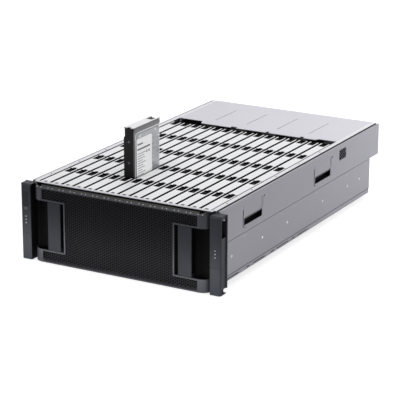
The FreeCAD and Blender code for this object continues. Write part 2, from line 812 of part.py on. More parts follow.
def rear_divider():
    """The shelf under the fans, with the partitions of the lower bay and the fillers beside it."""
    edge = inner_wall - sheet
    rear = upper_depth - sheet
    shelf = block((-edge, edge), (bay_start + shelf_setback, rear), (seam_height, seam_height + sheet))
    wall_x = io_wide / 2 + module_clearance
    wall = block((wall_x, wall_x + sheet), (bay_start, bay_rear), (sheet, seam_height))
    middle = io_shelf_height()
    io_shelf = block((-wall_x, wall_x), (bay_start, bay_rear), (middle - sheet / 2, middle + sheet / 2))
    lower_filler = block((pan_half, edge), (bay_rear - sheet, bay_rear), (pan_flange_top, seam_height))
    upper_filler = block((bay_half, edge), (fan_rear - sheet, fan_rear),
                         (seam_height, body_height - rib_drop))
    return fuse(shelf, wall, mirrored(wall), io_shelf, lower_filler, mirrored(lower_filler), upper_filler,
                mirrored(upper_filler))


def io_shelf_height():
    return (sheet + seam_height) / 2


def midplane_board():
    """The upright board that the rear modules plug into, standing on the backplane."""
    return block((-board_half, board_half), (midplane_y, midplane_y + board_thick),
                 (board_top, seam_height - module_clearance))


def fan_module(index):
    """A fan tray: a duct with a motor held on arms, and a pull tab on its rear face."""
    x = fan_x(index)
    half = (fan_pitch - module_clearance) / 2
    start = fan_rear - fan_case_long
    case = block((x - half, x + half), (start, fan_rear), (fan_floor, fan_top))
    case = case.cut(bar(fan_duct_r, "y", x, fan_axis_z, start - 1, fan_rear + 1, 24))
    arms = []
    for i in range(fan_arms):
        arm = block((x, x + fan_duct_r + 1), (fan_rear - 6, fan_rear - 2),
                    (fan_axis_z - 1.5, fan_axis_z + 1.5))
        arm.rotate(V(x, 0, fan_axis_z), V(0, 1, 0), 90 + 360 * i / fan_arms)
        arms.append(arm)
    motor = bar(fan_hub_r + 0.5, "y", x, fan_axis_z, fan_rear - motor_long, fan_rear - 2, 16)
    foot = fan_floor + tab_low
    head = foot + tab_tall
    end = fan_rear + tab_reach
    tab = prism([(fan_rear - 1, foot), (end - tab_corner, foot), (end, foot + tab_corner),
                 (end, head - tab_corner), (end - tab_corner, head), (fan_rear - 1, head)],
                "x", x + half - 7, x + half - 4)
    return fuse(case, motor, tab, *arms)


def fan_blade(x, turn):
    """A flat blade, set at a pitch and swept back from the hub to the tip."""
    root = fan_hub_r - 1
    tip = math.sqrt((fan_duct_r - fan_tip_gap) ** 2 - blade_sweep ** 2)
    waist = (root + tip) / 2
    middle = rotor_rear() - fan_depth / 2 + 2
    outline = [(-9, root), (9, root), (13, waist), (blade_sweep, tip), (-6, tip), (-9, waist)]
    points = [V(x - 0.7, middle + a, fan_axis_z + b) for a, b in outline]
    blade = Part.Face(Part.makePolygon(points + points[:1])).extrude(V(1.4, 0, 0))
    blade.rotate(V(x, middle, fan_axis_z), V(0, 0, 1), blade_pitch)
    blade.rotate(V(x, 0, fan_axis_z), V(0, 1, 0), turn)
    return blade


def rotor_rear():
    return fan_rear - motor_long - slip


def fan_rotor(index):
    """The impeller: a hub with pitched blades, on the motor's front."""
    x = fan_x(index)
    hub = bar(fan_hub_r, "y", x, fan_axis_z, rotor_rear() - fan_depth, rotor_rear(), 16)
    return fuse(hub, *[fan_blade(x, 360 * i / fan_blades) for i in range(fan_blades)])


io_low = sheet + slip
io_tall = io_shelf_height() - sheet / 2 - io_low - module_clearance
lever_long = 92.0
lever_tall = 11.0
lever_thick = 4.0
finger_long = 14.0          # the turned-out end of the lever
finger_out = 9.0            # outer face of that end from the arm's inner face
finger_in = 6.5
hinge_inset = 8.0           # the lever's hinge from the module's side
lever_low = 4.0             # foot of the lever above that of the module
port_count = 4
port_place = 22.0           # first port from the module's left side
port_pitch = 24.0
port_low = 22.0
port_wide = 17.0
port_tall = 10.0
network_place = 134.0
network_low = 20.0
network_wide = 16.0
network_tall = 13.0
socket_deep = 12.0
grille_place = 160.0
grille_pitch = 6.5
grille_slot = 3.4


def io_floor(index):
    return io_low if index == 0 else io_shelf_height() + sheet / 2 + slip


def module_case(x, z):
    """A sheet case with a deep rear face for its sockets, open towards the midplane."""
    case = block(x, (bay_start, bay_rear), z)
    inside = block((x[0] + sheet, x[1] - sheet), (bay_start - 1, bay_rear - face_deep),
                   (z[0] + sheet, z[1] - sheet))
    return case.cut(inside)


def io_module(index):
    """A control module: a case whose rear face has four ports, a network socket and a vent."""
    low = io_floor(index)
    half = io_wide / 2
    case = module_case((-half, half), (low, low + io_tall))
    tools = []
    for i in range(port_count):
        x = port_place - half + i * port_pitch
        tools.append(block((x, x + port_wide), (bay_rear - socket_deep, bay_rear + 1),
                           (low + port_low, low + port_low + port_tall)))
    x = network_place - half
    tools.append(block((x, x + network_wide), (bay_rear - socket_deep, bay_rear + 1),
                       (low + network_low, low + network_low + network_tall)))
    for i in range(int((io_wide - grille_place - 9) / grille_pitch)):
        x = grille_place - half + i * grille_pitch
        tools.append(block((x, x + grille_slot), (bay_rear - 4, bay_rear + 1),
                           (low + network_low, low + io_tall - 5)))
    case = cut(case, tools)
    lug = lever_lug(low)
    return fuse(case, *lug)


def lever_hinge(low):
    return V(io_wide / 2 - hinge_inset, bay_rear + lever_thick / 2 + slip,
             low + lever_low + lever_tall / 2)


def lever_lug(low):
    """Two ears on the module's face that hold the lever's end."""
    hinge = lever_hinge(low)
    return [block((hinge.x - 3, hinge.x + 3), (bay_rear - 1, hinge.y + 2), (z, z + 1.9))
            for z in (hinge.z - lever_tall / 2 - 2.2, hinge.z + lever_tall / 2 + slip)]


def io_lever(index):
    """An ejector lever lying across the foot of its module's face, with a turned-out finger end."""
    hinge = lever_hinge(io_floor(index))
    y0 = bay_rear + slip
    low, high = hinge.z - lever_tall / 2, hinge.z + lever_tall / 2
    x1 = hinge.x
    x0 = x1 - lever_long
    arm = prism([(x1, y0), (x1, y0 + lever_thick), (x0 + finger_long, y0 + lever_thick),
                 (x0 + 4, y0 + finger_out), (x0, y0 + finger_out), (x0, y0 + finger_in),
                 (x0 + 3, y0 + finger_in), (x0 + finger_long - 1, y0)], "z", low, high)
    knuckle = bar(lever_thick / 2, "z", x1, hinge.y, low, high)
    return fuse(arm, knuckle)


supply_low = sheet + slip
supply_top = seam_height - module_clearance
louvre_foot = 20.0          # round group of louvres above the foot of the face
louvre_head = 9.8           # and below its top
bail_drop = 46.0
bail_bar = 4.0
bail_half = 30.0


def supply_middle(side):
    return side * (supply_inner + supply_wide / 2)


def bail_hinge():
    return V(0, bay_rear + bail_bar / 2 + 1.2, supply_top - 10)


def power_supply(side):
    """A power supply: a case with round-set louvres, an inlet with pins and two handle lugs."""
    x = supply_middle(side)
    half = supply_wide / 2
    case = module_case((x - half, x + half), (supply_low, supply_top))
    radius = (supply_top - supply_low - louvre_foot - louvre_head) / 2
    centre_z = supply_low + louvre_foot + radius
    tools = []
    for i in range(-4, 5):
        rise = i * radius / 4.85
        z = centre_z + rise
        reach = math.sqrt(radius ** 2 - rise ** 2)
        tools.append(block((x - reach, x + reach), (bay_rear - 5, bay_rear + 1), (z - 1.9, z + 1.9)))
    inlet_x = x - half + 24
    tools.append(block((inlet_x - 14, inlet_x + 14), (bay_rear - 14, bay_rear + 1),
                       (supply_low + 2, supply_low + 16)))
    case = cut(case, tools)
    pins = [block((inlet_x + dx - 0.8, inlet_x + dx + 0.8), (bay_rear - 15, bay_rear - 4),
                  (supply_low + 7, supply_low + 11)) for dx in (-7, 0, 7)]
    hinge = bail_hinge()
    lugs = []
    for end in (-1, 1):
        at = x + end * (bail_half + 2.3)
        lugs.append(block((at - 1, at + 1), (bay_rear - 1, hinge.y + 2), (hinge.z - 2.5, hinge.z + 2.5)))
    return fuse(case, *(pins + lugs))


def power_handle(side):
    """A folding pull handle that hangs against the supply's face between two lugs."""
    x = supply_middle(side)
    hinge = bail_hinge()
    half_bar = bail_bar / 2
    outer = bail_half + 1
    y = (hinge.y - half_bar, hinge.y + half_bar)
    top = hinge.z
    bottom = hinge.z - bail_drop
    outline = [(x - outer, top), (x - outer, bottom), (x + outer, bottom), (x + outer, top),
               (x + outer - bail_bar, top), (x + outer - bail_bar, bottom + bail_bar),
               (x - outer + bail_bar, bottom + bail_bar), (x - outer + bail_bar, top)]
    loop = prism(outline, "y", y[0], y[1])
    knuckle = bar(half_bar, "x", hinge.y, top, x - outer, x + outer)
    middle = block((x - outer + bail_bar, x + outer - bail_bar), y, (top - bail_bar, top + bail_bar))
    return fuse(loop, knuckle.cut(middle))


os.makedirs("parts", exist_ok=True)

save("chassis_pan", chassis_pan())
save("front_wall", front_wall())
save("cage_walls", *[cage_wall(row) for row in range(rows + 1)])
save("backplane_board", backplane_board())
save("backplane_sockets", *[socket(c, r) for r in range(rows) for c in range(columns)])
save("rear_divider", rear_divider())
save("midplane_board", midplane_board())
save("rear_cover", rear_cover())
save("side_rivets", *side_rivets())

for name, shape in (("lower_side", lower_side()), ("upper_side", upper_side()), ("rail", rail()),
                    ("ear_plate", ear_plate()), ("pull_grip", pull_grip())):
    save(name + "_right", shape)
    save(name + "_left", mirrored(shape))
save("ear_cover_right", ear_cover())
save("ear_cover_left", left_ear_cover())

pockets = [lift_pocket(start) for start in pocket_starts]
grips = [lift_grip(start) for start in pocket_starts]
save("lift_pockets", *(pockets + [mirrored(p) for p in pockets]))
save("lift_grips", *(grips + [mirrored(g) for g in grips]))

save("bezel_frame", bezel_frame())
save("bezel_mesh", bezel_mesh())
save("status_lenses", *status_lenses())
save("display_window", mirrored(display_place(0.2)))
save("id_button", id_button())

for row in range(rows):
    name = "seated_drives_%d" % (row + 1)
    if row == raised_row:
        save(name + "_left", *[seated_drive(column, row) for column in range(raised_column)])
        save(name + "_right", *[seated_drive(column, row) for column in range(raised_column + 1, columns)])
    else:
        save(name, *[seated_drive(column, row) for column in range(columns)])

save("drive_carrier", drive_carrier())
save("drive_lever", drive_lever())
save("drive_casting", drive_casting())
save("drive_cover", drive_cover())
save("drive_board", *drive_board())
save("drive_screws", *drive_screws())

for i in range(fan_count):
    save("fan_module_%d" % (i + 1), fan_module(i))
    save("fan_rotor_%d" % (i + 1), fan_rotor(i))
for i in range(2):
    save("io_module_%d" % (i + 1), io_module(i))
    save("io_lever_%d" % (i + 1), io_lever(i))
    side = 2 * i - 1
    save("power_supply_%d" % (i + 1), power_supply(side))
    save("power_handle_%d" % (i + 1), power_handle(side))
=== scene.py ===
"""A disk shelf on a white floor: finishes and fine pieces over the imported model.

Sizes are in millimetres in the shelf's own coordinates, with Y = 0 at the rack plane, and point() turns
them into the scene's metres.
"""
import bpy
import bmesh
import math
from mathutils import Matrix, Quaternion, Vector


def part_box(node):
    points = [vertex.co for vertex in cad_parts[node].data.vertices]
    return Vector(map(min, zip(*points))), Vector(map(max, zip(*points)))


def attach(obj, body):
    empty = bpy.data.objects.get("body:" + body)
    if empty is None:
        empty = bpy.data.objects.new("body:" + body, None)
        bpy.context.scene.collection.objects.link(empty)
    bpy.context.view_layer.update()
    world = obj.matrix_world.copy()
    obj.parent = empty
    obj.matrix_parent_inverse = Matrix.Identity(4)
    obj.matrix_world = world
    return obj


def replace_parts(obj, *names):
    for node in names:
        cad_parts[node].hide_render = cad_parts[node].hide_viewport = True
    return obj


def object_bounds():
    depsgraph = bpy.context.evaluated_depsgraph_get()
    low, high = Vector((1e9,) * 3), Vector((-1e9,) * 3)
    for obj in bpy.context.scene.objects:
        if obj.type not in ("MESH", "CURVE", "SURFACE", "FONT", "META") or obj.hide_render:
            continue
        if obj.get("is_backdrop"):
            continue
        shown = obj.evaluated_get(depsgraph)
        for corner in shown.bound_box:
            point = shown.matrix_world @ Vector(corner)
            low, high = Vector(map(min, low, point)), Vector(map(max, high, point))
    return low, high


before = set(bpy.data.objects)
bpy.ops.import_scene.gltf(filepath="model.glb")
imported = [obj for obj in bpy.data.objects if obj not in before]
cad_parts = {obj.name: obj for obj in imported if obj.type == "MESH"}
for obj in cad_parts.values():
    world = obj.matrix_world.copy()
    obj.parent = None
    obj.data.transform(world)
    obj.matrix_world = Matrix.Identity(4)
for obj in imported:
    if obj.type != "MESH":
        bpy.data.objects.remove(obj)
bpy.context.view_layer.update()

MM = 0.001
rack_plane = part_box("lower_side_left")[0][1]


def point(x, y, z):
    return Vector((x * MM, y * MM + rack_plane, z * MM))


def span(node):
    """The lowest and highest corner of a CAD node in the shelf's millimetres."""
    low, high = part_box(node)
    return [(c[0] / MM, (c[1] - rack_plane) / MM, c[2] / MM) for c in (low, high)]


# The drives and their places
columns = 15
rows = 5
column_pitch = 27.5
row_pitch = 111.2
row_start = -1.0
raised_column = 5
raised_row = 1
raised_by = 108.0
disk_floor = 18.5
disk_wide = 101.6
disk_tall = 147.0
rail_thick = 3.5
carrier_long = 108.6
carrier_half = 11.9
cap_top = 170.5
cap_floor = 167.5
cap_face = 0.4              # white upper layer of a cap; below it the black carriers make the cap's sides, painted shade in the gaps between caps
cap_wide = 20.6             # a seated cap
lever_wide = 24.2           # the raised cap
notch_half = 7.6
notch_long = 26.0
lug_half = 4.0
lug_long = 5.5
skin = cap_top - cap_face   # underside of the caps' white layer
latch_floor = cap_floor - 9

# The shelf's body, bezel and ears
half_body = 224.0
lower_depth = 730.0
wall_front = -11.0
lip_foot = 169.9            # the front wall is pale above this
front = -25.5
mesh_top = 163.8
mesh_edge = 186.0
chamfer_shade_rise = 2.3             # the bezel's chamfer is painted near black from here above the mesh: painted shade
window_inner = 132.5
window_bottom = 29.0
window_top = 136.0
ear_inner = 214.5
ear_lamp_x = 226.5
ear_lamp_heights = (81.2, 88.35, 95.5)


def column_x(column):
    return (column - (columns - 1) / 2) * column_pitch


def row_y(row):
    return row_start + row * row_pitch


raised_x = column_x(raised_column)
raised_y = row_y(raised_row)


# Mesh forms

class Form:
    """Vertices and faces in the shelf's millimetres, gathered before they become one object."""

    def __init__(self):
        self.verts = []
        self.faces = []

    def add(self, verts, faces):
        base = len(self.verts)
        self.verts += verts
        self.faces += [[base + i for i in face] for face in faces]
        return self

    def prism(self, outline, axis, start, end):
        """An outline in the plane across an axis, drawn out along it."""
        place = {"x": lambda a, b, t: (t, a, b), "y": lambda a, b, t: (a, t, b),
                 "z": lambda a, b, t: (a, b, t)}[axis]
        n = len(outline)
        verts = [place(a, b, t) for t in (start, end) for a, b in outline]
        sides = [[i, (i + 1) % n, n + (i + 1) % n, n + i] for i in range(n)]
        return self.add(verts, sides + [list(range(n))[::-1], list(range(n, 2 * n))])

    def block(self, x, y, z):
        return self.prism([(x[0], y[0]), (x[1], y[0]), (x[1], y[1]), (x[0], y[1])], "z", z[0], z[1])

    def turned(self, profile, centre, axis, steps=20):
        """A profile of (radius, along) points turned about an axis; a radius of 0 closes its end."""
        place = {"x": lambda a, b, t: (centre[0] + t, centre[1] + a, centre[2] + b),
                 "y": lambda a, b, t: (centre[0] + a, centre[1] + t, centre[2] + b),
                 "z": lambda a, b, t: (centre[0] + a, centre[1] + b, centre[2] + t)}[axis]
        verts, rings, faces = [], [], []
        for radius, along in profile:
            if radius == 0:
                rings.append([len(verts)] * steps)
                verts.append(place(0, 0, along))
                continue
            rings.append(list(range(len(verts), len(verts) + steps)))
            for i in range(steps):
                turn = 2 * math.pi * i / steps
                verts.append(place(radius * math.cos(turn), radius * math.sin(turn), along))
        for low, high in zip(rings, rings[1:]):
            for i in range(steps):
                j = (i + 1) % steps
                face = [low[i], low[j], high[j], high[i]]
                faces.append([v for k, v in enumerate(face) if v not in face[:k]])
        return self.add(verts, faces)

    def mirrored(self):
        """The same form on the other side of the shelf."""
        other = Form()
        other.add([(-x, y, z) for x, y, z in self.verts], [face[::-1] for face in self.faces])
        return other

    def moved(self, x, y, z):
        other = Form()
        other.add([(a + x, b + y, c + z) for a, b, c in self.verts], self.faces)
        return other

    def join(self, *others):
        for other in others:
            self.add(other.verts, other.faces)
        return self


def rounded(points, radii, steps=4):
    """An outline whose corners are replaced by arcs."""
    outline = []
    n = len(points)
    for i in range(n):
        radius = radii[i] if isinstance(radii, (list, tuple)) else radii
        here = Vector(points[i])
        if radius == 0:
            outline.append(tuple(here))
            continue
        before = (Vector(points[i - 1]) - here).normalized()
        after = (Vector(points[(i + 1) % n]) - here).normalized()
        half = before.angle(after) / 2
        centre = here + (before + after).normalized() * (radius / math.sin(half))
        start = here + before * (radius / math.tan(half)) - centre
        turn = math.pi - 2 * half
        if start.x * before.y - start.y * before.x > 0:
            turn = -turn
        for k in range(steps + 1):
            a = turn * k / steps
            outline.append((centre.x + start.x * math.cos(a) - start.y * math.sin(a),
                            centre.y + start.x * math.sin(a) + start.y * math.cos(a)))
    return outline


def rectangle(a, b, radius=0, steps=4):
    corners = [(a[0], b[0]), (a[1], b[0]), (a[1], b[1]), (a[0], b[1])]
    return rounded(corners, radius, steps) if radius else corners


def make(name, form, body, material, bevel=0.0, smooth=False):
    """One object from a form: it rides on a body and has one material."""
    mesh = bpy.data.meshes.new(name)
    mesh.from_pydata([point(*v) for v in form.verts], [], form.faces)
    shape = bmesh.new()
    shape.from_mesh(mesh)
    bmesh.ops.recalc_face_normals(shape, faces=shape.faces)
    shape.to_mesh(mesh)
    shape.free()
    piece = bpy.data.objects.new(name, mesh)
    bpy.context.scene.collection.objects.link(piece)
    mesh.materials.append(material)
    if smooth:
        for face in mesh.polygons:
            face.use_smooth = True
    if bevel:
        soften(piece, bevel)
    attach(piece, body)
    return piece


def soften(piece, width):
    """Rounds a piece's sharp edges with a narrow bevel."""
    bevel = piece.modifiers.new("edges", "BEVEL")
    bevel.width = width * MM
    bevel.segments = 2
    bevel.limit_method = "ANGLE"
    bevel.angle_limit = math.radians(32)
    bevel.harden_normals = False
    for face in piece.data.polygons:
        face.use_smooth = False


# Finishes

def linear(value):
    value /= 255
    return value / 12.92 if value <= 0.04045 else ((value + 0.055) / 1.055) ** 2.4


def colour(red, green, blue):
    return (linear(red), linear(green), linear(blue), 1.0)


rough_swing = 0.08


def finish(name, base, rough, metallic=0.0, patch=0.06, patch_scale=14.0, grain=0.25, grain_scale=900.0,
           coat=0.0, brushed=(1, 1, 1), specular=0.5):
    """A coated or bare surface: broad uneven shade, fine grain in the bump and uneven roughness."""
    material = bpy.data.materials.new(name)
    material.use_nodes = True
    nodes, links = material.node_tree.nodes, material.node_tree.links
    shader = nodes["Principled BSDF"]
    shader.inputs["Metallic"].default_value = metallic
    shader.inputs["Coat Weight"].default_value = coat
    shader.inputs["Specular IOR Level"].default_value = specular
    place = nodes.new("ShaderNodeTexCoord")
    broad = nodes.new("ShaderNodeTexNoise")
    broad.inputs["Scale"].default_value = patch_scale
    broad.inputs["Detail"].default_value = 4.0
    links.new(place.outputs["Object"], broad.inputs["Vector"])
    fine = nodes.new("ShaderNodeTexNoise")
    fine.inputs["Scale"].default_value = grain_scale
    fine.inputs["Detail"].default_value = 2.0
    stretch = nodes.new("ShaderNodeMapping")
    stretch.inputs["Scale"].default_value = brushed
    links.new(place.outputs["Object"], stretch.inputs["Vector"])
    links.new(stretch.outputs["Vector"], fine.inputs["Vector"])
    shade = nodes.new("ShaderNodeValToRGB")
    shade.color_ramp.elements[0].position = 0.3
    shade.color_ramp.elements[1].position = 0.7
    shade.color_ramp.elements[0].color = tuple(c * (1 - patch) for c in base[:3]) + (1.0,)
    shade.color_ramp.elements[1].color = tuple(min(1.0, c * (1 + patch)) for c in base[:3]) + (1.0,)
    links.new(broad.outputs["Fac"], shade.inputs["Fac"])
    links.new(shade.outputs["Color"], shader.inputs["Base Color"])
    swing = nodes.new("ShaderNodeMapRange")
    swing.inputs["From Min"].default_value = 0.3
    swing.inputs["From Max"].default_value = 0.7
    swing.inputs["To Min"].default_value = max(0.02, rough - rough_swing)
    swing.inputs["To Max"].default_value = min(1.0, rough + rough_swing)
    links.new(fine.outputs["Fac"], swing.inputs["Value"])
    links.new(swing.outputs["Result"], shader.inputs["Roughness"])
    bump = nodes.new("ShaderNodeBump")
    bump.inputs["Strength"].default_value = grain
    bump.inputs["Distance"].default_value = 0.0001
    links.new(fine.outputs["Fac"], bump.inputs["Height"])
    links.new(bump.outputs["Normal"], shader.inputs["Normal"])
    return material


def maths(nodes, links, operation, *values):
    """The output of a Math node; each value is a socket or a number."""
    node = nodes.new("ShaderNodeMath")
    node.operation = operation
    for value, socket in zip(values, node.inputs):
        if isinstance(value, (int, float)):
            socket.default_value = value
        else:
            links.new(value, socket)
    return node.outputs[0]


def along(nodes, links, measure, axis):
    """One axis of the position or the normal of the surface."""
    geometry = nodes.new("ShaderNodeNewGeometry")
    split = nodes.new("ShaderNodeSeparateXYZ")
    links.new(geometry.outputs[measure], split.inputs[0])
    return split.outputs[axis]


def sideways(nodes, links):
    """1 on faces that look across the shelf and 0 on the others."""
    size = maths(nodes, links, "ABSOLUTE", along(nodes, links, "True Normal", "X"))
    return maths(nodes, links, "GREATER_THAN", size, 0.5)


def height_over(height):
    """1 above a height in the shelf's millimetres and 0 below it."""
    def mask(nodes, links):
        return maths(nodes, links, "GREATER_THAN", along(nodes, links, "Position", "Z"), height * MM)
    return mask


def ear_gap_shade_side(nodes, links):
    """1 on the faces of the ears that look at the bezel across its gap, where painted shade goes, and 0 on
    the others.
    """
    distance = maths(nodes, links, "ABSOLUTE", along(nodes, links, "Position", "X"))
    near = maths(nodes, links, "LESS_THAN", distance, ear_inner * MM)
    return maths(nodes, links, "MULTIPLY", sideways(nodes, links), near)


def second_coat(material, other, mask):
    """Gives a finish another shade where its mask is 1."""
    nodes, links = material.node_tree.nodes, material.node_tree.links
    base = nodes["Principled BSDF"].inputs["Base Color"]
    coat = nodes.new("ShaderNodeMixRGB")
    coat.inputs["Color2"].default_value = other
    links.new(base.links[0].from_socket, coat.inputs["Color1"])
    links.new(mask(nodes, links), coat.inputs["Fac"])
    links.new(coat.outputs["Color"], base)
    return material


white_cap = finish("white_cap", colour(221, 221, 223), 0.45, patch=0.02, grain=0.08, grain_scale=700)
# Grey for the raised cap's body under its thin white layer and for the carrier's bar: painted shade on the
# raised cap's sides
cap_side = finish("cap_side", colour(122, 122, 124), 0.5, patch=0.05, grain=0.1, specular=0.3)
black_body = finish("black_body", colour(7, 7, 8), 0.7, patch=0.1, grain=0.2, specular=0.1)
black_rail = finish("black_rail", colour(15, 15, 16), 0.45, patch=0.12, grain=0.3, specular=0.2)
side_paint = finish("side_paint", colour(149, 148, 156), 0.5, patch=0.02, patch_scale=5.0, grain=0.15,
                    specular=0.3)
cover_paint = finish("cover_paint", colour(202, 201, 208), 0.6, patch=0.015, patch_scale=5.0,
                     grain=0.15, specular=0.12)
# Pale paint for the rails, painted near black on their upright walls: painted shade in the gap between
# rail and side panel
rail_paint_and_gap_shade = second_coat(finish("rail_paint_and_gap_shade", colour(212, 211, 216), 0.5, patch=0.02, patch_scale=8.0),
                         colour(4, 4, 5), sideways)
cage_dark = finish("cage_dark", colour(9, 9, 10), 0.6, patch=0.08, specular=0.05)
wall_paint = second_coat(finish("wall_paint", colour(6, 6, 7), 0.6, patch=0.03, specular=0.04),
                         colour(206, 206, 211), height_over(lip_foot))
tab_metal = finish("tab_metal", colour(150, 150, 154), 0.4, 0.3, patch=0.05, grain=0.1)
pan_zinc = finish("pan_zinc", colour(150, 152, 156), 0.4, 0.7, patch=0.1, patch_scale=40.0,
                  brushed=(1, 0.02, 1))
ear_paint = finish("ear_paint", colour(30, 31, 34), 0.5, patch=0.08, specular=0.3)
# Dark plastic for the bezel, painted near black on its chamfer above the mesh: painted shade of the recess
# behind the chamfer
bezel_plastic = second_coat(finish("bezel_plastic", colour(48, 49, 55), 0.42, patch=0.06, grain=0.4,
                                   grain_scale=1400, specular=0.3),
                            colour(8, 8, 9), height_over(mesh_top + chamfer_shade_rise))
# Dark plastic for the ears, painted near black on the faces towards the bezel: painted shade in the gap
# between ear and bezel
ear_plastic = second_coat(finish("ear_plastic", colour(46, 48, 54), 0.45, patch=0.05, grain=0.4,
                                 grain_scale=1400, specular=0.12),
                          colour(11, 11, 13), ear_gap_shade_side)
mesh_paint = finish("mesh_paint", colour(31, 31, 34), 0.5, patch=0.08, grain=0.1, specular=0.08)
mesh_shade = finish("mesh_shade", colour(5, 5, 6), 0.6, patch=0.08, grain=0.1, specular=0.04)
grip_plastic = finish("grip_plastic", colour(36, 38, 44), 0.5, patch=0.05, grain=0.4, grain_scale=1400,
                      specular=0.12)
pocket_black = finish("pocket_black", colour(7, 7, 8), 0.6, patch=0.1, specular=0.05)
pocket_edging = finish("pocket_edging", colour(60, 60, 64), 0.5, patch=0.08)
window_gloss = finish("window_gloss", colour(20, 21, 24), 0.3, patch=0.05, grain=0.02, specular=0.2)
lens_pale = finish("lens_pale", colour(160, 165, 171), 0.25, patch=0.04, grain=0.03, coat=0.2)
key_plastic = finish("key_plastic", colour(52, 55, 60), 0.45, patch=0.05, grain=0.3)
rivet_metal = finish("rivet_metal", colour(204, 204, 209), 0.3, 0.5, patch=0.05, grain=0.05)
dimple_metal = finish("dimple_metal", colour(176, 175, 184), 0.4, 0.3, patch=0.05, grain=0.05)
# Near-black for the strips in the side panels' creases and under their step: painted shade
painted_shade_line = finish("painted_shade_line", colour(44, 43, 48), 0.6, patch=0.05, specular=0.2)
screw_metal = finish("screw_metal", colour(205, 206, 210), 0.25, 0.9, patch=0.05, grain=0.05)
dull_screw = finish("dull_screw", colour(90, 90, 93), 0.5, 0.4, patch=0.05, grain=0.05)
disk_cast = finish("disk_cast", colour(158, 159, 162), 0.36, 0.5, patch=0.05, patch_scale=60, grain=0.35)
lid_rim = finish("lid_rim", colour(224, 224, 226), 0.4, 0.1, patch=0.05)
lid_shade = finish("lid_shade", colour(104, 104, 107), 0.4, 0.5, patch=0.05)
disk_lid = finish("disk_lid", colour(170, 171, 174), 0.32, 0.7, patch=0.05, patch_scale=25, grain=0.2,
                  brushed=(1, 0.03, 1))
label_paper = finish("label_paper", colour(252, 252, 252), 0.6, patch=0.02, grain=0.1)
label_ink = finish("label_ink", colour(150, 151, 154), 0.7, patch=0.1, grain=0.1)
label_bold = finish("label_bold", colour(84, 85, 88), 0.7, patch=0.1, grain=0.1)
board_green = finish("board_green", colour(24, 70, 44), 0.4, patch=0.15, patch_scale=120, grain=0.1)
socket_black = finish("socket_black", colour(20, 20, 22), 0.5, patch=0.08)
fan_black = finish("fan_black", colour(32, 32, 34), 0.5, patch=0.08, grain=0.4)
rotor_grey = finish("rotor_grey", colour(48, 49, 52), 0.4, patch=0.06)
guard_wire = finish("guard_wire", colour(176, 178, 182), 0.28, 0.9, patch=0.05, grain=0.05)
module_zinc = finish("module_zinc", colour(182, 183, 188), 0.42, 0.4, patch=0.06, patch_scale=30,
                     brushed=(0.02, 1, 1))
supply_zinc = finish("supply_zinc", colour(172, 173, 179), 0.42, 0.4, patch=0.06, patch_scale=30)
lever_amber = finish("lever_amber", colour(150, 84, 30), 0.45, patch=0.05)
gold = finish("gold", colour(214, 176, 96), 0.25, 0.9, patch=0.05, grain=0.05)


def dress(node, material, bevel=0.0):
    """Gives a CAD node its finish, and rounds its edges a little."""
    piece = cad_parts[node]
    for i in range(len(piece.data.materials)):
        piece.data.materials[i] = material
    if bevel:
        soften(piece, bevel)


for side in ("left", "right"):
    dress("lower_side_" + side, side_paint)
    dress("upper_side_" + side, side_paint)
    dress("rail_" + side, rail_paint_and_gap_shade)
    dress("ear_plate_" + side, ear_paint, 0.4)
    dress("pull_grip_" + side, grip_plastic, 0.5)
    dress("ear_cover_" + side, ear_plastic, 0.5)
dress("chassis_pan", pan_zinc)
dress("front_wall", wall_paint)
dress("cage_walls", cage_dark)
dress("backplane_board", board_green)
dress("backplane_sockets", socket_black)
dress("rear_divider", pan_zinc)
dress("midplane_board", board_green)
dress("rear_cover", cover_paint)
dress("lift_pockets", pocket_black)
dress("lift_grips", pocket_edging, 0.6)
dress("bezel_frame", bezel_plastic, 0.4)
dress("display_window", window_gloss, 0.2)
dress("id_button", key_plastic, 0.3)
dress("drive_board", board_green)
dress("drive_cover", disk_lid, 0.4)
dress("drive_casting", disk_cast, 0.4)
dress("drive_carrier", black_rail, 0.3)
for i in range(1, 6):
    dress("fan_module_%d" % i, fan_black, 0.4)
    dress("fan_rotor_%d" % i, rotor_grey, 0.3)
for i in (1, 2):
    dress("io_module_%d" % i, module_zinc, 0.3)
    dress("io_lever_%d" % i, lever_amber, 0.5)
    dress("power_supply_%d" % i, supply_zinc, 0.3)
    dress("power_handle_%d" % i, fan_black, 0.6)


# Seated drives: thin white caps on black carriers; the black under the thin caps is painted shade in the
# gaps between caps

def cap_outline(wide, start=0.0):
    """A cap's plan from its front edge, with the lug's slot in front and the finger notch behind."""
    w, n = wide / 2, notch_half
    points = [(-w, start), (-lug_half, start), (-lug_half, lug_long), (lug_half, lug_long),
              (lug_half, start), (w, start), (w, carrier_long), (n, carrier_long),
              (n, carrier_long - notch_long), (-n, carrier_long - notch_long), (-n, carrier_long),
              (-w, carrier_long)]
    radii = [1.2, 0.6, 0.8, 0.8, 0.6, 1.2, 1.6, 0.8, 1.6, 1.6, 0.8, 1.6]
    return rounded(points, radii, 3)


def carrier_form():
    """What shows of a seated carrier: its body under the cap and beside the notch, and the latch in it."""
    rear = carrier_long - notch_long
    ends = (rear, carrier_long - 0.3)
    form = Form().block((-carrier_half, carrier_half), (0.3, rear), (disk_floor, skin))
    form.block((-carrier_half, carrier_half), ends, (disk_floor, latch_floor))
    for side in (-1, 1):
        form.block(sorted((side * carrier_half, side * (notch_half + 0.2))), ends, (latch_floor, skin))
    latch = [(rear + 10, latch_floor), (rear + 10, cap_floor - 1.5), (rear + 11.5, cap_floor),
             (carrier_long - 2, cap_floor), (carrier_long - 1, cap_floor - 1),
             (carrier_long - 1, latch_floor)]
    form.prism(latch, "x", -notch_half + 1.2, notch_half - 1.2)
    return form


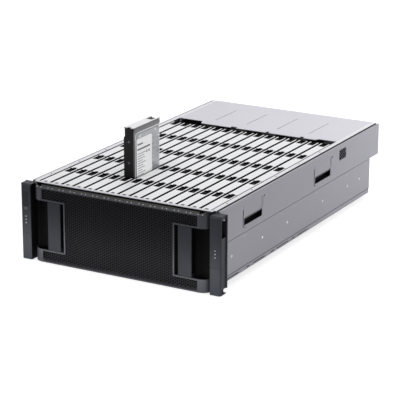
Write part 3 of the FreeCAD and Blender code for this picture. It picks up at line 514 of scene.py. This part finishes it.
def seated_forms(row, row_columns):
    """The caps and the carriers of one run of seated drives."""
    cap = Form().prism(cap_outline(cap_wide), "z", skin, cap_top)
    carrier = carrier_form()
    caps, carriers = Form(), Form()
    for column in row_columns:
        caps.join(cap.moved(column_x(column), row_y(row), 0))
        carriers.join(carrier.moved(column_x(column), row_y(row), 0))
    return caps, carriers


for row in range(rows):
    runs = {"": range(columns)}
    if row == raised_row:
        runs = {"_left": range(raised_column), "_right": range(raised_column + 1, columns)}
    for side, run in runs.items():
        node = "seated_drives_%d%s" % (row + 1, side)
        caps, carriers = seated_forms(row, run)
        cap_piece = make("caps_%d%s" % (row + 1, side), caps, "chassis", white_cap, 0.25)
        make("carriers_%d%s" % (row + 1, side), carriers, "chassis", black_body)
        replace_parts(cap_piece, node)


# A black strip along the raised drive's bay: painted shade in the gap beside the raised drive
edge = raised_x + 13.7
bay_gap_shade = Form().block((edge, edge + 2.3), (raised_y + 0.4, raised_y + carrier_long - 0.4),
                      (skin - 1.6, skin))
make("bay_gap_shade_strip", bay_gap_shade, "chassis", black_body)


# The raised drive

def raised(form):
    return form.moved(raised_x, raised_y, raised_by)


lever = Form().prism(cap_outline(lever_wide), "z", skin, cap_top)
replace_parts(make("raised_cap", raised(lever), "drive_lever_body", white_cap, 0.25),
            "drive_lever")
hinge_in = 1.5
knuckle_r = 1.45
pin_r = 0.8
underside = Form().prism(cap_outline(lever_wide, hinge_in), "z", cap_floor, skin)
for start, end, radius in ((-lever_wide / 2, -lug_half, knuckle_r), (-lug_half, lug_half, pin_r),
                           (lug_half, lever_wide / 2, knuckle_r)):
    underside.turned([(0, start), (radius, start), (radius, end), (0, end)],
                     (0, hinge_in, cap_floor + hinge_in), "x", 14)
# The raised cap's body in grey: painted shade on its sides
make("raised_cap_body", raised(underside), "drive_lever_body", cap_side, 0.3)


def screw_head(radius, rise, face, sign):
    """A pan-head screw seen end on along Y, with a round recess, centred on (0, face, 0)."""
    profile = [(radius, 0), (radius, 0.4 * rise), (radius * 0.75, rise), (radius * 0.42, rise),
               (radius * 0.3, rise * 0.35), (0, rise * 0.35)]
    return Form().turned([(r, face + sign * a) for r, a in profile], (0, 0, 0), "y", 18)


heads = Form()
for height in (75.0, 121.0):
    for face, sign in ((0, -1), (carrier_long, 1)):
        heads.join(raised(screw_head(2.7, 0.35, face, sign).moved(0, 0, disk_floor + height)))
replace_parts(make("carrier_screws", heads, "drive", dull_screw, smooth=True), "drive_screws")

# The disk's label, with plain bars for its print
lid_face = 12.55
label_face = lid_face + 0.12
mark_face = label_face + 0.05
lid_front, lid_back = rail_thick + 6, rail_thick + disk_wide - 2
lid_low, lid_high = disk_floor + 3, disk_floor + disk_tall - 14
label_front, label_back = lid_front + 1.3, lid_back - 30
label_top = lid_high - 8
label = Form().prism(rectangle((label_front, label_back), (lid_low + 10, label_top), 5), "x",
                     lid_face, label_face)
make("drive_label", raised(label), "drive", label_paper)

mark_start = label_front + 3
mark_long = label_back - mark_start - 4


def bar(form, start, end, low, high):
    """A printed bar on the label."""
    form.prism(rectangle((start, end), (low, high)), "x", label_face, mark_face)


marks = Form()
for i, part in enumerate((0.62, 0.5, 0.56, 0.38, 0.6, 0.42, 0.52, 0.34, 0.58, 0.46, 0.5, 0.4)):
    z = label_top - 34 - i * 5.2
    bar(marks, mark_start, mark_start + mark_long * part, z, z + 1.6)
for i in range(16):
    y = label_front + 8 + i * 2.6
    bar(marks, y, y + 0.7 + 0.6 * ((i * 7) % 3), lid_low + 14, lid_low + 22)
make("drive_label_marks", raised(marks), "drive", label_ink)

bold = Form()
bar(bold, mark_start, mark_start + mark_long * 0.94, label_top - 25, label_top - 21.6)
bar(bold, mark_start, mark_start + mark_long * 0.4, label_top - 14, label_top - 11)
for part in (0.66, 0.82):
    y = mark_start + mark_long * part
    bar(bold, y, y + 4, label_top - 36, label_top - 31)
make("drive_label_bold_marks", raised(bold), "drive", label_bold)

# The lid's screws, its rim, a darker strip of painted shade along its front, and the carrier's bar over it
lid_screws = Form()
for y, z in ((lid_front + 3.5, lid_low + 4), (lid_back - 3.5, lid_low + 4),
             (lid_front + 4, lid_high - 18), (lid_back - 4, lid_high - 16),
             (lid_front + 16, lid_high - 3.4), (lid_back - 15, lid_high - 3.4)):
    lid_screws.turned([(2.1, 0), (2.1, 0.3), (1.7, 0.45), (0.9, 0.45), (0.7, 0.2), (0, 0.2)],
                      (lid_face, y, z), "x", 14)
make("drive_lid_screws", raised(lid_screws), "drive", screw_metal, smooth=True)

rim_wide = 2.0
rim_rise = 0.25
rim_top = cap_floor - 9
edges = [rectangle((lid_front - 5 + d, lid_back + 1 - d), (lid_low + d, rim_top - d), 11 - d, 5)
         for d in (0, rim_wide)]
ring = [(x, a, b) for x in (lid_face, lid_face + rim_rise) for outline in edges for a, b in outline]
n = len(edges[0])
faces = []
for i in range(n):
    j = (i + 1) % n
    faces += [[i, j, n + j, n + i], [2 * n + j, 2 * n + i, 3 * n + i, 3 * n + j],
              [i, 2 * n + i, 2 * n + j, j], [n + j, 3 * n + j, 3 * n + i, n + i]]
make("drive_lid_rim", raised(Form().add(ring, faces)), "drive", lid_rim)
# A thin darker strip on the lid along its front: painted shade of the lid's rounded bulge
lid_shade_strip = Form().block((lid_face, lid_face + 0.1), (lid_front - 3.6, lid_front + 0.4),
                      (lid_low + 12, label_top))
make("drive_lid_shade_strip", raised(lid_shade_strip), "drive", lid_shade)
top_bar = Form().block((12.6, 13.3), (2.2, carrier_long - 3), (rim_top + 1, cap_floor - 0.2))
make("carrier_top_bar", raised(top_bar), "drive", cap_side, 0.2)


# Bezel mesh: a sheet of small hexagonal holes in upright columns

mesh_low = 1.2
mesh_pitch = 5.72
mesh_hole = 4.3


def hex_sheet(x, z, y, thick, keep, pierced):
    """A sheet of hexagonal cells; keep(x, z) says which are there and pierced(x, z) which have a hole."""
    form = Form()
    across = mesh_pitch * math.sqrt(3) / 2
    corners = [(math.cos(math.radians(60 * k)), math.sin(math.radians(60 * k))) for k in range(6)]
    outer, inner = mesh_pitch / math.sqrt(3), mesh_hole / math.sqrt(3)
    faces = []
    for k in range(6):
        m = (k + 1) % 6
        faces += [[k, m, 6 + m, 6 + k], [6 + k, 6 + m, 18 + m, 18 + k], [12 + m, 12 + k, 18 + k, 18 + m]]
    for i in range(int((x[1] - x[0]) / across) + 1):
        for j in range(int((z[1] - z[0]) / mesh_pitch) + 2):
            a = x[0] + i * across
            b = z[0] + (j - 0.5 * (i % 2)) * mesh_pitch
            if not keep(a, b):
                continue
            if not pierced(a, b):
                cell = [(a + outer * u, max(b + outer * v, mesh_low)) for u, v in corners]
                form.prism(cell, "y", y, y + thick)
                continue
            ring = [(a + r * u, t, b + r * v) for t in (y, y + thick) for r in (outer, inner)
                    for u, v in corners]
            form.add(ring, faces)
    return form


def in_bezel(x, z):
    """True where the bezel's mesh shows: all of its opening but the hand windows and their rims."""
    if abs(x) > mesh_edge + 1 or not 0 < z < mesh_top - 1:
        return False
    return abs(x) < window_inner - 0.5 or not window_bottom - 1.0 < z < window_top + 1.0


def bezel_hole(x, z):
    """True for the cells that lie well inside the bezel's opening."""
    return abs(x) < mesh_edge - 2 and 9.5 < z < mesh_top - 4.5


bezel_mesh = hex_sheet((-mesh_edge - 2, mesh_edge + 2), (4.0, mesh_top), front + 1.75, 0.75, in_bezel,
                       bezel_hole)
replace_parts(make("bezel_hex_mesh", bezel_mesh, "chassis", mesh_paint), "bezel_mesh")

for side, sign in (("right", 1), ("left", -1)):
    ends = sorted((sign * (window_inner - 2), sign * 205))
    deep = hex_sheet(ends, (window_bottom - 4, window_top + 2), wall_front - 1.0, 0.8,
                     lambda x, z: True, lambda x, z: True)
    make("window_mesh_" + side, deep, "chassis", mesh_shade)


# Toothed strip along the bezel's upper edge

tabs = Form()
for column in range(columns):
    for sign in (-1, 1):
        x = column_x(column) + sign * 5.0
        tabs.prism([(front + 0.9, mesh_top + 0.6), (front + 0.6, mesh_top + 1.0),
                    (front + 2.2, mesh_top + 2.6), (front + 2.5, mesh_top + 2.2)], "x", x - 1.0, x + 1.0)
make("bezel_tabs", tabs, "chassis", tab_metal, 0.2)


# Ears: lamps

lamps = Form()
for height in ear_lamp_heights:
    for sign in (-1, 1):
        lamps.turned([(0, 0.5), (0.9, 0.15), (1.5, 0.05), (1.5, 3.0), (0, 3.0)],
                     (sign * ear_lamp_x, front, height), "y", 16)
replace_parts(make("ear_lamps", lamps, "chassis", lens_pale, smooth=True), "status_lenses")


# Side panels: rivets, spot welds, strips of painted shade in the pressed creases round the lifting pockets
# and under the foot's step, and the vent

rivet_height = 61.4
rivet_places = (49.7, 184.7, 299.9, 476.0, 607.0, 673.0)
weld_places = ((104.9, 89.1), (273.5, 89.2), (333.6, 88.5), (444.9, 88.4), (274.6, 31.6), (602.0, 88.4))
pocket_starts = (102.0, 434.0)
vent_low, vent_high = (559.0, 133.8), (594.0, 158.0)


def both_sides(form):
    return form.join(form.mirrored())


rivets = Form()
for y in rivet_places:
    rivets.turned([(3.0, -0.2), (2.9, 0.2), (2.2, 0.6), (1.2, 0.78), (0, 0.8)],
                  (half_body, y, rivet_height), "x", 18)
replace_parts(make("side_rivet_heads", both_sides(rivets), "chassis", rivet_metal,
                 smooth=True), "side_rivets")

welds = Form()
for y, z in weld_places:
    welds.turned([(1.7, -0.2), (1.5, 0.15), (0.8, 0.25), (0, 0.25)], (half_body, y, z), "x", 14)
make("side_welds", both_sides(welds), "chassis", dimple_metal, smooth=True)

# Dark strips along the pressed creases round the lifting pockets: painted shade in the creases
crease_shades = Form()
for start in pocket_starts:
    path = [(start - 4.0, 146), (start - 4.0, 111), (start - 2.4, 108.5), (start + 3, 107.6)]
    for (y0, z0), (y1, z1) in zip(path, path[1:]):
        long = math.hypot(y1 - y0, z1 - z0)
        u, v = (z0 - z1) / long * 1.7, (y1 - y0) / long * 0.8
        crease_shades.prism([(y0 - u, z0 - v), (y0 + u, z0 + v), (y1 + u, z1 + v), (y1 - u, z1 - v)], "x",
                      half_body - 0.1, half_body + 0.06)
make("pocket_crease_shade", both_sides(crease_shades), "chassis", painted_shade_line)

# A dark strip under the step at the foot of the side panels: painted shade of the step's overhang
foot_step_shade = Form().block((half_body - 1.1, half_body - 0.75), (3.0, lower_depth - 3.0), (22.8, 25.0))
make("side_foot_step_shade", both_sides(foot_step_shade), "chassis", painted_shade_line)

vent = Form().block((half_body - 0.3, half_body + 0.1), (vent_low[0], vent_high[0]),
                    (vent_low[1], vent_high[1]))
make("side_vent_mesh", both_sides(vent), "chassis", mesh_shade)
knots = Form()
for j in range(6):
    for i in range(4):
        y = vent_low[0] + 3.4 + i * 8.2 + (j % 2) * 4.1
        z = vent_low[1] + 2.4 + j * 3.9
        knots.block((half_body, half_body + 0.2), (y - 1.1, y + 1.1), (z - 0.6, z + 0.6))
make("side_vent_knots", both_sides(knots), "chassis", side_paint)


# Rear cover: grey strips of painted shade along its folds, over the joints between the fan modules

fold_shades = Form()
cover_low, cover_high = span("rear_cover")
for i in range(1, 5):
    x = (span("fan_module_%d" % i)[1][0] + span("fan_module_%d" % (i + 1))[0][0]) / 2
    fold_shades.block((x - 0.7, x + 0.7), (cover_low[1] + 42, cover_high[1] - 60),
                (cover_high[2] - 0.55, cover_high[2] - 0.3))
# The strips take the dull screws' grey: painted shade in the folds
make("cover_fold_shade", fold_shades, "chassis", dull_screw)


# Rear: fan guards, sockets, lamps and screws

tab_reach = 15.0
fan_rear = span("fan_module_3")[1][1] - tab_reach
duct_r = 31.5
ring_wire = 0.8


def wire_ring(radius, centre):
    """A round wire bent to a circle in the plane across Y."""
    turns = [(ring_wire * math.cos(a), ring_wire * math.sin(a))
             for a in [2 * math.pi * k / 8 for k in range(9)]]
    return Form().turned([(radius + u, v) for u, v in turns], centre, "y", 36)


for i in range(1, 6):
    low, high = span("fan_module_%d" % i)
    rotor_low, rotor_high = span("fan_rotor_%d" % i)
    centre = ((rotor_low[0] + rotor_high[0]) / 2, fan_rear + 1.2, (low[2] + high[2]) / 2)
    guard = Form()
    for radius in (duct_r, duct_r - 6, duct_r - 12, duct_r - 18):
        guard.join(wire_ring(radius, centre))
    for k in range(4):
        turn = math.radians(45 + 90 * k)
        u, v = math.cos(turn), math.sin(turn)
        ends = [(centre[0] + r * u + s * v * 0.8, centre[2] + r * v - s * u * 0.8)
                for r, s in ((12, -1), (duct_r + 4.5, -1), (duct_r + 4.5, 1), (12, 1))]
        guard.prism(ends, "y", fan_rear + 0.1, fan_rear + 0.9)
    body = "fan_%d" % i
    make("fan_guard_%d" % i, guard, body, guard_wire, smooth=True)
    screws = Form()
    for k in range(4):
        turn = math.radians(45 + 90 * k)
        u, v = (duct_r + 6) * math.cos(turn), (duct_r + 6) * math.sin(turn)
        screws.join(screw_head(2.4, 1.4, 0, 1).moved(centre[0] + u, fan_rear + 0.1, centre[2] + v))
    make("fan_screws_%d" % i, screws, body, screw_metal, smooth=True)
    lamp_at = (low[0] + 6.5, fan_rear, low[2] + 7)
    lens = Form().turned([(1.5, 0), (1.5, 0.4), (0.8, 0.9), (0, 0.9)], lamp_at, "y", 14)
    make("fan_lamp_%d" % i, lens, body, lens_pale, smooth=True)


shell_gap = 0.2             # between a socket's shell and the opening that it stands in
shell_deep = 9.0
port_start, port_pitch, port_wide = 22.0, 24.0, 17.0
port_low, port_high = 22.0, 32.0
jack_start, jack_wide = 134.0, 16.0
jack_low, jack_high = 20.0, 33.0


def port_shell(x, z, y):
    """A pressed socket shell with a contact tongue inside, in an opening seen from the rear."""
    form = Form()
    x0, x1 = x[0] + shell_gap, x[1] - shell_gap
    z0, z1 = z[0] + shell_gap, z[1] - shell_gap
    wall = 0.5
    for a, b in (((x0, x1), (z0, z0 + wall)), ((x0, x1), (z1 - wall, z1)), ((x0, x0 + wall), (z0, z1)),
                 ((x1 - wall, x1), (z0, z1))):
        form.block(a, (y - shell_deep, y + 0.6), b)
    return form.block((x0 + 3, x1 - 3), (y - shell_deep, y - 2),
                      ((z0 + z1) / 2 - 0.8, (z0 + z1) / 2 + 0.8))


for i in (1, 2):
    low, high = span("io_module_%d" % i)
    face = high[1] - 4.3
    shells, tongues, jack = Form(), Form(), Form()
    for k in range(4):
        x = low[0] + port_start + port_pitch * k
        shells.join(port_shell((x, x + port_wide), (low[2] + port_low, low[2] + port_high), face))
    x = low[0] + jack_start
    jack.join(port_shell((x, x + jack_wide), (low[2] + jack_low, low[2] + jack_high), face))
    for k in range(8):
        tongue = x + 3.2 + 1.2 * k
        tongues.block((tongue, tongue + 0.5), (face - 8, face - 3), (low[2] + 30, low[2] + 31))
    body = "control_%d" % i
    make("port_shells_%d" % i, shells, body, screw_metal)
    make("network_jack_%d" % i, jack, body, socket_black)
    make("jack_contacts_%d" % i, tongues, body, gold)
    spots = Form()
    for k in range(6):
        spot_at = (low[0] + 26 + port_pitch * (k % 4) + 5 * (k // 4), face, low[2] + 36.5)
        spots.turned([(1.1, 0), (1.1, 0.25), (0.5, 0.6), (0, 0.6)], spot_at, "y", 12)
    make("module_lamps_%d" % i, spots, body, lens_pale, smooth=True)


inlet_at = 24.0
inlet_half = 15.2
inlet_low, inlet_high = 0.9, 17.1
inlet_wall = 1.2
inlet_sill = 1.1

for i in (1, 2):
    low, high = span("power_supply_%d" % i)
    face = high[1] - 5.2
    inlet = low[0] + inlet_at
    frame_form = Form()
    for x, z in (((-inlet_half, inlet_half), (inlet_low, inlet_low + inlet_sill)),
                 ((-inlet_half, inlet_half), (inlet_high - inlet_sill, inlet_high)),
                 ((-inlet_half, inlet_wall - inlet_half), (inlet_low, inlet_high)),
                 ((inlet_half - inlet_wall, inlet_half), (inlet_low, inlet_high))):
        frame_form.block((inlet + x[0], inlet + x[1]), (face - 10, face + 1.2),
                         (low[2] + z[0], low[2] + z[1]))
    body = "supply_%d" % i
    make("supply_inlet_%d" % i, frame_form, body, socket_black, 0.2)
    make("supply_lamp_%d" % i, Form().turned([(1.6, 0), (1.6, 0.4), (0.8, 1.0), (0, 1.0)],
                                             (high[0] - 10, face, low[2] + 9), "y", 14),
         body, lens_pale, smooth=True)
    screws = Form()
    for x in (low[0] + 5, high[0] - 5):
        screws.join(screw_head(2.2, 1.2, 0, 1).moved(x, face, high[2] - 5))
    make("supply_screws_%d" % i, screws, body, screw_metal, smooth=True)


# Stage, light and camera

def stage_plane(name, half, height, material):
    mesh = bpy.data.meshes.new(name)
    mesh.from_pydata([(-half, -half, height), (half, -half, height), (half, half, height),
                      (-half, half, height)], [], [(0, 1, 2, 3)])
    mesh.materials.append(material)
    plane = bpy.data.objects.new(name, mesh)
    bpy.context.scene.collection.objects.link(plane)
    plane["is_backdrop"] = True


def seen(nodes, links):
    """1 for camera rays and for rays that a glossy or clear surface sends on, and 0 for the rest."""
    path = nodes.new("ShaderNodeLightPath")
    total = path.outputs["Is Camera Ray"]
    for kind in ("Is Glossy Ray", "Is Transmission Ray"):
        total = maths(nodes, links, "MAXIMUM", total, path.outputs[kind])
    return total


def floor_finish():
    """A white floor, brighter than it is lit and more so beyond the lamp's reach; it keeps its shadow."""
    material = bpy.data.materials.new("floor")
    material.use_nodes = True
    nodes, links = material.node_tree.nodes, material.node_tree.links
    shader = nodes["Principled BSDF"]
    shader.inputs["Base Color"].default_value = (0.46, 0.46, 0.465, 1.0)
    shader.inputs["Roughness"].default_value = 0.9
    shader.inputs["Specular IOR Level"].default_value = 0.1
    glow = nodes.new("ShaderNodeEmission")
    geometry = nodes.new("ShaderNodeNewGeometry")
    away = nodes.new("ShaderNodeVectorMath")
    away.operation = "LENGTH"
    links.new(geometry.outputs["Position"], away.inputs[0])
    level = nodes.new("ShaderNodeMapRange")
    level.inputs["From Min"].default_value = 1.2
    level.inputs["From Max"].default_value = 3.5
    level.inputs["To Min"].default_value = 0.7
    links.new(away.outputs["Value"], level.inputs["Value"])
    strength = maths(nodes, links, "MULTIPLY", seen(nodes, links), level.outputs["Result"])
    links.new(strength, glow.inputs["Strength"])
    both = nodes.new("ShaderNodeAddShader")
    links.new(shader.outputs[0], both.inputs[0])
    links.new(glow.outputs[0], both.inputs[1])
    links.new(both.outputs[0], nodes["Material Output"].inputs["Surface"])
    return material


stage_plane("floor", 30.0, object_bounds()[0][2] - 0.0005, floor_finish())


def white_world(level):
    """White to the camera and in reflections of it, and a plain soft light for everything else."""
    world = bpy.data.worlds.new("studio")
    bpy.context.scene.world = world
    world.use_nodes = True
    nodes, links = world.node_tree.nodes, world.node_tree.links
    ground = nodes["Background"]
    ground.inputs["Color"].default_value = (1, 1, 1, 1)
    strength = nodes.new("ShaderNodeMapRange")
    strength.inputs["To Min"].default_value = level
    strength.inputs["To Max"].default_value = 1.0
    links.new(seen(nodes, links), strength.inputs["Value"])
    links.new(strength.outputs["Result"], ground.inputs["Strength"])


def lamp(name, place, target, size, power):
    data = bpy.data.lights.new(name, "AREA")
    data.shape = "RECTANGLE"
    data.size, data.size_y = size
    data.energy = power
    piece = bpy.data.objects.new(name, data)
    piece.location = place
    piece.rotation_euler = (Vector(target) - Vector(place)).to_track_quat("-Z", "Y").to_euler()
    bpy.context.scene.collection.objects.link(piece)


white_world(0.12)
lamp("top_light", (-0.3, -0.2, 4.0), (0, 0, 0.1), (5.0, 5.0), 185)
lamp("side_light", (3.0, 0.2, 1.0), (0.2, 0.1, 0.1), (1.6, 1.0), 16)
lamp("rear_side_light", (0.95, 1.1, 0.5), (0.22, 0.42, 0.1), (0.5, 0.4), 9)
lamp("foot_light", (0, -0.5, 0.012), (0, -0.4, 0.012), (0.9, 0.03), 0.7)

# The camera, fitted to the photograph's own corners and edges
focal_px = 1747.5
image_px = 400
camera_at = (1.7989, -3.2679, 1.2322)
camera_azimuth, camera_elevation, camera_roll = 29.270, 17.498, -0.112
sensor_mm = 36.0

view = bpy.data.cameras.new("camera")
view.sensor_width = sensor_mm
view.lens = focal_px / image_px * sensor_mm
camera = bpy.data.objects.new("camera", view)
a, e = math.radians(camera_azimuth), math.radians(camera_elevation)
forward = Vector((-math.sin(a) * math.cos(e), math.cos(a) * math.cos(e), -math.sin(e)))
camera.location = camera_at
camera.rotation_mode = "QUATERNION"
camera.rotation_quaternion = forward.to_track_quat("-Z", "Y")
camera.rotation_quaternion.rotate(Quaternion(forward, math.radians(camera_roll)))
bpy.context.scene.collection.objects.link(camera)
bpy.context.scene.camera = camera
bpy.context.scene.view_settings.view_transform = "Standard"
